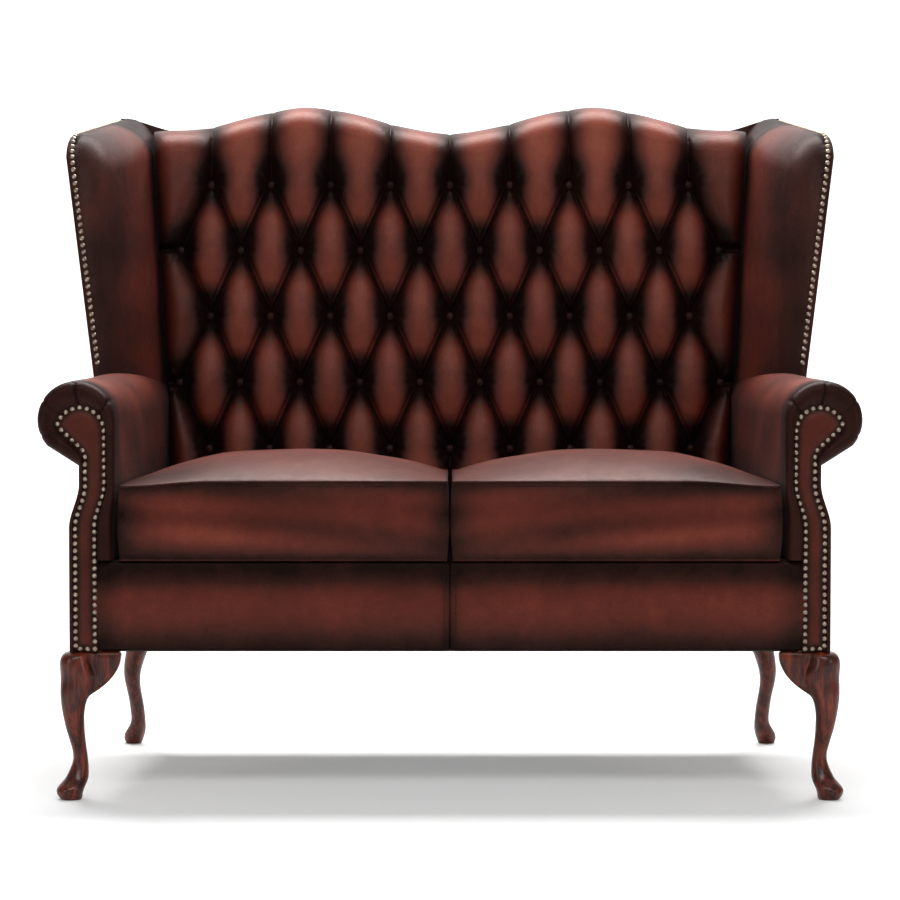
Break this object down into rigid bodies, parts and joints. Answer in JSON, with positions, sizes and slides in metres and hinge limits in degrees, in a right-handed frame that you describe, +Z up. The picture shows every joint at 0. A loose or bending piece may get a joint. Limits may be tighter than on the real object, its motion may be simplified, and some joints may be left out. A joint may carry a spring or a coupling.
{
  "type": "wing settee",
  "caption": "High-back wing settee with a deep-buttoned serpentine-topped back, rolled arms, loose lift-out seat cushions, nail-head trim and cabriole legs.",
  "frame": {"origin": "on the floor below the middle of the bounding box", "axes": "+X to the right of someone looking at the front, +Y to the back, +Z up"},
  "size_m": [1.2996, 0.7901, 1.112],
  "materials": {
    "leather": "rub-off antique oxblood",
    "polished_wood": "dark mahogany polish",
    "frame_wood": "raw beech",
    "brass_nail": "aged brass",
    "steel": "bright wire",
    "clip_plastic": "moulded",
    "webbing": "woven",
    "lining": "woven",
    "foam": "open cell"
  },
  "bodies": {
    "frame": {"arm_facing_left": "leather", "arm_facing_right": "leather", "arm_nails_left": "brass_nail", "arm_nails_right": "brass_nail", "arm_pad_left": "leather", "arm_pad_right": "leather", "arm_stump_left": "frame_wood", "arm_stump_right": "frame_wood", "arm_top_rail_left": "frame_wood", "arm_top_rail_right": "frame_wood", "back_buttons": "leather", "back_centre_post": "frame_wood", "back_lower_rail": "frame_wood", "back_pad": "leather", "back_post_left": "frame_wood", "back_post_right": "frame_wood", "back_top_rail": "frame_wood", "back_webbing": "webbing", "corner_blocks": "frame_wood", "dust_cover": "lining", "front_border_left": "leather", "front_border_right": "leather", "front_leg_left": "polished_wood", "front_leg_right": "polished_wood", "leg_bolts": "steel", "outside_arm_left": "leather", "outside_arm_right": "leather", "outside_back": "leather", "outside_wing_left": "leather", "outside_wing_right": "leather", "rear_leg_left": "polished_wood", "rear_leg_right": "polished_wood", "seat_back_rail": "frame_wood", "seat_centre_brace": "frame_wood", "seat_front_rail": "frame_wood", "seat_platform": "lining", "seat_side_rail_left": "frame_wood", "seat_side_rail_right": "frame_wood", "seat_springs": "steel", "spring_clips": "clip_plastic", "wing_board_left": "frame_wood", "wing_board_right": "frame_wood", "wing_nails_left": "brass_nail", "wing_nails_right": "brass_nail", "wing_pad_left": "leather", "wing_pad_right": "leather"},
    "cushion_left": {"seat_cushion_core_left": "foam", "seat_cushion_cover_left": "leather"},
    "cushion_right": {"seat_cushion_core_right": "foam", "seat_cushion_cover_right": "leather"}
  },
  "joints": [
    {"name": "lift_left", "type": "slide", "parent": "frame", "child": "cushion_left", "axis": [0, 0, 1], "range_m": [0, 0.25]},
    {"name": "lift_right", "type": "slide", "parent": "frame", "child": "cushion_right", "axis": [0, 0, 1], "range_m": [0, 0.25]}
  ]
}
